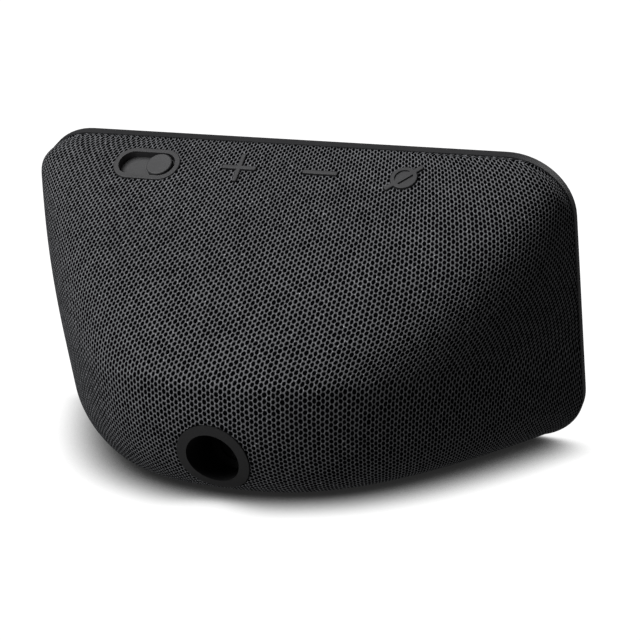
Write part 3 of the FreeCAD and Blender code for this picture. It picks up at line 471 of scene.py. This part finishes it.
def stadium_pts(l, h, n=24, cx=0.0):
    r = h / 2.0
    p = []
    for i in range(n + 1):
        t = -math.pi / 2 + math.pi * i / n
        p.append((cx + l / 2 - r + r * math.cos(t), r * math.sin(t)))
    for i in range(n + 1):
        t = math.pi / 2 + math.pi * i / n
        p.append((cx - l / 2 + r + r * math.cos(t), r * math.sin(t)))
    return p


def bar_pts(l, w, ang=0.0, r=0.4, n=4):
    p = []
    for sx, sy, t0 in ((1, 1, 0), (-1, 1, 90), (-1, -1, 180), (1, -1, 270)):
        for i in range(n + 1):
            t = math.radians(t0 + 90.0 * i / n)
            x, y = sx * (l / 2 - r) + r * math.cos(t), sy * (w / 2 - r) + r * math.sin(t)
            c, s = math.cos(math.radians(ang)), math.sin(math.radians(ang))
            p.append((c * x - s * y, s * x + c * y))
    return p


def circle_pts(r, n=64):
    return [(r * math.cos(2 * math.pi * i / n), r * math.sin(2 * math.pi * i / n)) for i in range(n)]


def cut(ob, tools):
    for t in tools:
        m = ob.modifiers.new("cut", "BOOLEAN")
        m.operation = "DIFFERENCE"
        m.solver = "EXACT"
        m.object = t
        apply_mods(ob)
    for t in tools:
        bpy.data.objects.remove(t)


JACK_M = Matrix(((1, 0, 0, JACK_X), (0, 0, 1, 0), (0, -1, 0, JACK_Z), (0, 0, 0, 1)))
I4 = Matrix.Identity(4)


def foot_cutter(grow):
    """Outline of the base foot, grown a little, as a tall prism."""
    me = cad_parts["base_foot"].data if hasattr(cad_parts["base_foot"], "data") else bpy.data.objects["base_foot"].data
    zmax = max(v.co.z for v in me.vertices)
    pts = sorted({(round(v.co.x * 1000, 3), round(v.co.y * 1000, 3)) for v in me.vertices if v.co.z > zmax - 1e-5})
    c = np.mean(np.array(pts), 0)
    # convex outline
    def half(ps):
        h = []
        for q in ps:
            while len(h) > 1 and (h[-1][0] - h[-2][0]) * (q[1] - h[-2][1]) - (h[-1][1] - h[-2][1]) * (q[0] - h[-2][0]) <= 1e-6:
                h.pop()
            h.append(q)
        return h
    hull = half(pts)[:-1] + half(pts[::-1])[:-1]
    H = np.array(hull)
    d = H - c
    L = np.linalg.norm(d, axis=1, keepdims=True)
    H = H + d / L * grow
    return prism("foot_cut", [tuple(q) for q in H], -2.0, 3.2, I4)


NU, NT = ((132, 117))
cover = cover_mesh("knit_cover", 0.0, COVER_T, NU, NT)
tools = [prism("c", stadium_pts(18.75, 10.45), -3.0, 4.0, frame_matrix("slider")),
         prism("c", circle_pts(JACK_R + 0.1), 10.0, 70.0, JACK_M),
         prism("c", bar_pts(9.65, 1.5), -2.0, 3.0, frame_matrix("up")),
         prism("c", bar_pts(1.5, 9.65), -2.0, 3.0, frame_matrix("up")),
         prism("c", bar_pts(9.65, 1.5), -2.0, 3.0, frame_matrix("down")),
         prism("c", circle_pts(6.95 / 2 + 0.15), -2.0, 3.0, frame_matrix("mute")),
         prism("c", bar_pts(11.6, 1.6, 45), -2.0, 3.0, frame_matrix("mute")),
         foot_cutter(0.35)]
cut(cover, tools)
cover.data.materials.clear()
cover.data.materials.append(KNIT)
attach(cover, "housing")
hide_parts("fabric_cover")

# --------------------------------------------------- the moulded shell behind it
shell = cover_mesh("rear_shell_moulding", COVER_T + 0.14, 1.8, NU // 2 + 20, NT // 2 + 20, 8)
tools = [prism("c", stadium_pts(19.3, 10.95), -5.0, 4.0, frame_matrix("slider")),
         prism("c", circle_pts(JACK_R - 1.2), 10.0, 70.0, JACK_M),
         prism("c", circle_pts(6.3), -6.0, 3.0, frame_matrix("up")),
         prism("c", circle_pts(6.3), -6.0, 3.0, frame_matrix("down")),
         prism("c", circle_pts(6.9), -6.0, 3.0, frame_matrix("mute")),
         prism("c", bar_pts(32.7, 10.5), -9.75, -1.75, frame_matrix("slider")),
         foot_cutter(0.5)]
tools[-1].data.transform(Matrix.Diagonal((1, 1, 1.8, 1)))
cut(shell, tools)
shell.data.materials.clear()
shell.data.materials.append(plastic("shell_plastic", (0.010, 0.010, 0.011), 0.6, 900, 0.12, 0.2))
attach(shell, "housing")
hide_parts("rear_shell")


# ---------------------------------------------------------------- materials
def rim_material():
    g = G("rim_plastic")
    fine = g.noise(2600.0, 2.0, 0.6)
    big = g.noise(45.0, 3.0, 0.55)
    e = g.edge(0.0005)
    c = g.mix(g.step(big, 0.3, 0.7), (0.020, 0.020, 0.0215), (0.027, 0.027, 0.029))
    # painted highlight along the rim's edges
    c = g.mix(g.math("MULTIPLY", e, 0.5), c, (0.055, 0.055, 0.058))
    g.put(g.p.inputs["Base Color"], c)
    g.put(g.p.inputs["Roughness"], g.step(fine, 0.25, 0.75, 0.40, 0.52, False))
    g.put(g.p.inputs["Normal"], g.bump(fine, 0.18, 0.00004))
    g.p.inputs["Specular IOR Level"].default_value = 0.38
    return g.m


def button_material(name, col, rough=0.55):
    g = G(name)
    fine = g.noise(3200.0, 2.0, 0.6)
    big = g.noise(150.0, 2.0, 0.5)
    e = g.edge(0.0004)
    c = g.mix(g.step(big, 0.3, 0.7), tuple(x * 0.9 for x in col), tuple(x * 1.1 for x in col))
    # painted highlight along the button edges
    c = g.mix(g.math("MULTIPLY", e, 0.35), c, tuple(min(1, x * 1.7) for x in col))
    g.put(g.p.inputs["Base Color"], c)
    g.put(g.p.inputs["Roughness"], g.step(fine, 0.25, 0.75, rough - 0.06, rough + 0.08, False))
    g.put(g.p.inputs["Normal"], g.bump(fine, 0.20, 0.00004))
    g.p.inputs["Specular IOR Level"].default_value = 0.4
    return g.m


def glass_material():
    """Black printed glass: a display area a shade lighter, a small camera window."""
    g = G("cover_glass")
    sep = g.n("ShaderNodeSeparateXYZ")
    g.put(sep.inputs[0], g.pos())
    x = sep.outputs[0]
    # distance up the panel
    vy = g.math("MULTIPLY", g.math("ADD", sep.outputs[1], HALF_DEPTH * MM), math.sin(TH))
    vz = g.math("MULTIPLY", g.math("SUBTRACT", sep.outputs[2], PANEL_Z * MM), math.cos(TH))
    v = g.math("ADD", vy, vz)
    ax = g.math("ABSOLUTE", x)
    av = g.math("ABSOLUTE", g.math("SUBTRACT", v, 0.0409))
    inx = g.step(ax, 0.0618, 0.0622, 1.0, 0.0)
    inv = g.step(av, 0.0309, 0.0313, 1.0, 0.0)
    act = g.math("MULTIPLY", inx, inv)
    dx = g.math("SUBTRACT", x, CAM_X * MM)
    dv = g.math("SUBTRACT", v, CAM_V * MM)
    d = g.math("SQRT", g.math("ADD", g.math("MULTIPLY", dx, dx), g.math("MULTIPLY", dv, dv)))
    win = g.step(d, 0.00165, 0.0018, 1.0, 0.0)
    ring = g.math("MULTIPLY", g.step(d, 0.0021, 0.00225), g.step(d, 0.0024, 0.00255, 1.0, 0.0))
    smear = g.noise(24.0, 4.0, 0.6)
    c = g.mix(act, (0.0045, 0.0045, 0.0050), (0.0105, 0.0115, 0.0140))
    c = g.mix(win, c, (0.020, 0.012, 0.035))
    c = g.mix(ring, c, (0.020, 0.020, 0.022))
    g.put(g.p.inputs["Base Color"], c)
    g.put(g.p.inputs["Roughness"], g.step(smear, 0.3, 0.75, 0.035, 0.10, False))
    g.p.inputs["Specular IOR Level"].default_value = 0.55
    g.p.inputs["Coat Weight"].default_value = 0.6
    g.p.inputs["Coat Roughness"].default_value = 0.03
    g.put(g.p.inputs["Normal"], g.bump(smear, 0.02, 0.0002))
    return g.m


BTN = button_material("button_rubber", (0.042, 0.042, 0.044))
TRAYM = button_material("tray_plastic", (0.038, 0.038, 0.040), 0.5)
KNOBM = button_material("knob_plastic", (0.050, 0.050, 0.052), 0.5)
COLLAR = plastic("collar_plastic", (0.015, 0.015, 0.0157), 0.52, 2400, 0.08, 0.15, spec=0.3)
BLACK = plastic("socket_plastic", (0.006, 0.006, 0.0065), 0.45, 1200, 0.1, 0.1)
SHELLP = plastic("moulded_black", (0.010, 0.010, 0.011), 0.6, 900, 0.12, 0.2)
STEEL = metal("zinc_steel", (0.62, 0.62, 0.63), 0.32)
CHROME = metal("nickel", (0.72, 0.71, 0.68), 0.18)
TIN = metal("tin_plate", (0.70, 0.70, 0.69), 0.35, (1, 1, 8), 500)
ALU = metal("bare_aluminium", (0.78, 0.78, 0.79), 0.38, (12, 1, 1), 500)
CAST = metal("cast_plate", (0.62, 0.62, 0.63), 0.55, (1, 1, 1), 1500, 0.35)
MAGNET = plastic("magnet_ferrite", (0.022, 0.022, 0.025), 0.65, 1600, 0.2, 0.4)
BASKET = plastic("basket_paint", (0.012, 0.012, 0.013), 0.35, 1800, 0.1, 0.25, coat=0.3)
CONE = plastic("cone_weave", (0.020, 0.020, 0.022), 0.6, 3000, 0.1, 0.4)
BUTYL = plastic("butyl_rubber", (0.012, 0.012, 0.012), 0.55, 900, 0.1, 0.15)
FOAM = plastic("foam", (0.018, 0.018, 0.018), 0.9, 2600, 0.05, 0.6)
COPPER = metal("enamelled_copper", (0.66, 0.27, 0.11), 0.28, (1, 1, 14), 900, 0.3)
PCB = plastic("solder_mask", (0.012, 0.070, 0.028), 0.3, 700, 0.1, 0.08, 0.35, coat=0.3, blotch=240)
CHIP = plastic("epoxy", (0.012, 0.012, 0.013), 0.5, 3000, 0.1, 0.2)
FLEX = plastic("polyimide", (0.28, 0.12, 0.02), 0.28, 300, 0.08, 0.05, coat=0.4)
LEADM = plastic("wire_insulation", (0.12, 0.010, 0.010), 0.4, 900, 0.08, 0.1)
NYLON = plastic("ivory_nylon", (0.62, 0.58, 0.47), 0.45, 1500, 0.08, 0.1, 0.1)
LCD = plastic("display_back", (0.55, 0.55, 0.57), 0.35, 600, 0.1, 0.05, 0.06)
LENS = plastic("coated_lens", (0.010, 0.012, 0.030), 0.06, 200, 0.02, 0.0, coat=1.0)
FOOTM = plastic("foot_rubber", (0.030, 0.030, 0.031), 0.78, 1900, 0.08, 0.35)

LOOK = {
    "display_frame": rim_material(), "front_glass": glass_material(), "glass_tape": FOAM, "display_module": LCD,
    "display_plate": CAST, "display_screws": STEEL, "volume_up_button": BTN, "volume_down_button": BTN,
    "mic_mute_button": BTN, "slider_surround": TRAYM, "slider_knob": KNOBM, "shutter_carriage": TRAYM,
    "shutter_blade": SHELLP, "camera_bracket": SHELLP, "camera_module": CHIP, "camera_lens": LENS, "light_sensor": LENS,
    "power_inlet_collar": COLLAR, "power_socket": BLACK, "power_socket_pin": CHROME, "speaker_gasket": FOAM,
    "speaker_mount": SHELLP, "speaker_basket": BASKET, "speaker_surround": BUTYL, "speaker_cone": CONE,
    "speaker_dust_cap": CONE, "speaker_voice_coil": COPPER, "speaker_magnet": MAGNET, "speaker_screws": STEEL,
    "button_board": PCB, "button_switches": CHIP, "microphones": TIN, "main_board": PCB, "board_posts": ALU,
    "board_screws": STEEL, "processor_chip": CHIP, "memory_chips": CHIP, "shield_can": TIN, "heat_sink": ALU,
    "board_connectors": NYLON, "display_flex": FLEX, "camera_flex": FLEX, "button_flex": FLEX,
    "power_lead": LEADM, "speaker_lead": LEADM, "base_plate": SHELLP, "base_foot": FOOTM, "base_screws": STEEL,
}
for name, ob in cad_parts.items():
    m = LOOK.get(name)
    if m is None:
        continue
    if not ob.material_slots:
        ob.data.materials.append(m)
    for s_ in ob.material_slots:
        s_.material = m


# ------------------------------------------------------------- floor and light
def make_stage():
    bm = bmesh.new()
    n = 40
    S = 30.0
    vs = [[bm.verts.new((-S + 2 * S * i / n, -S + 2 * S * j / n, -0.00006)) for j in range(n + 1)] for i in range(n + 1)]
    for i in range(n):
        for j in range(n):
            bm.faces.new((vs[i][j], vs[i + 1][j], vs[i + 1][j + 1], vs[i][j + 1]))
    me = bpy.data.meshes.new("floor")
    bm.to_mesh(me); bm.free()
    ob = bpy.data.objects.new("floor", me)
    bpy.context.collection.objects.link(ob)
    g = G("floor_white")
    # painted contact shadow: ambient occlusion turns the floor's emission down close to the object
    ao = g.n("ShaderNodeAmbientOcclusion", samples=16)
    ao.inputs["Distance"].default_value = SHADOW_REACH
    painted_shadow_level = g.step(ao.outputs["AO"], 0.10, 0.94, FLOOR_SHADOW_DARK, FLOOR_WHITE)
    g.p.inputs["Base Color"].default_value = (0.0, 0.0, 0.0, 1.0)
    g.p.inputs["Roughness"].default_value = 1.0
    g.p.inputs["Specular IOR Level"].default_value = 0.0
    g.p.inputs["Emission Color"].default_value = (1, 1, 1, 1)
    g.put(g.p.inputs["Emission Strength"], painted_shadow_level)
    # seen from above only
    geo = g.n("ShaderNodeNewGeometry")
    clear = g.n("ShaderNodeBsdfTransparent")
    mx = g.n("ShaderNodeMixShader")
    g.put(mx.inputs[0], geo.outputs["Backfacing"])
    g.put(mx.inputs[1], g.p.outputs[0])
    g.put(mx.inputs[2], clear.outputs[0])
    g.put(g.out.inputs[0], mx.outputs[0])
    me.materials.append(g.m)
    ob.visible_diffuse = False
    ob.visible_glossy = False
    ob.visible_transmission = False
    ob.visible_shadow = False
    return ob


def area(name, loc, target, size, power, col=(1, 1, 1), sy=None):
    l = bpy.data.lights.new(name, "AREA")
    l.shape = "RECTANGLE"
    l.size, l.size_y = size, sy or size
    l.energy = power
    l.color = col
    o = bpy.data.objects.new(name, l)
    o.location = loc
    d = Vector(target) - Vector(loc)
    o.rotation_euler = d.to_track_quat("-Z", "Y").to_euler()
    bpy.context.collection.objects.link(o)
    return o


# reach and darkest emission of the painted contact shadow on the floor
SHADOW_REACH, FLOOR_SHADOW_DARK, FLOOR_WHITE = 0.015, 0.02, 1.10
make_stage()
area("key", (0.55, 0.72, 1.20), (0.0, 0.0, 0.04), 1.00, 21.0)
area("rear_low", (0.75, 1.25, 0.12), (0.0, 0.0, 0.02), 0.80, 4.2)
area("floor_bounce", (0.30, 0.55, -0.75), (0.0, 0.0, 0.03), 1.10, 1.4)
area("front_fill", (-0.35, -1.5, 0.8), (0.0, 0.0, 0.04), 0.9, 8.0)
w = bpy.data.worlds.new("studio")
w.use_nodes = True
w.node_tree.nodes["Background"].inputs[0].default_value = (1, 1, 1, 1)
w.node_tree.nodes["Background"].inputs[1].default_value = 0.09
plain = w.node_tree.nodes.new("ShaderNodeBackground")
plain.inputs[0].default_value = (1, 1, 1, 1)
plain.inputs[1].default_value = 1.0
path = w.node_tree.nodes.new("ShaderNodeLightPath")
mixw = w.node_tree.nodes.new("ShaderNodeMixShader")
w.node_tree.links.new(path.outputs["Is Camera Ray"], mixw.inputs[0])
w.node_tree.links.new(w.node_tree.nodes["Background"].outputs[0], mixw.inputs[1])
w.node_tree.links.new(plain.outputs[0], mixw.inputs[2])
w.node_tree.links.new(mixw.outputs[0], w.node_tree.nodes["World Output"].inputs[0])
bpy.context.scene.world = w
bpy.context.scene.view_settings.view_transform = "Standard"
bpy.context.scene.view_settings.look = "None"
bpy.context.scene.view_settings.exposure = 0.0
bpy.context.scene.view_settings.gamma = 1.0
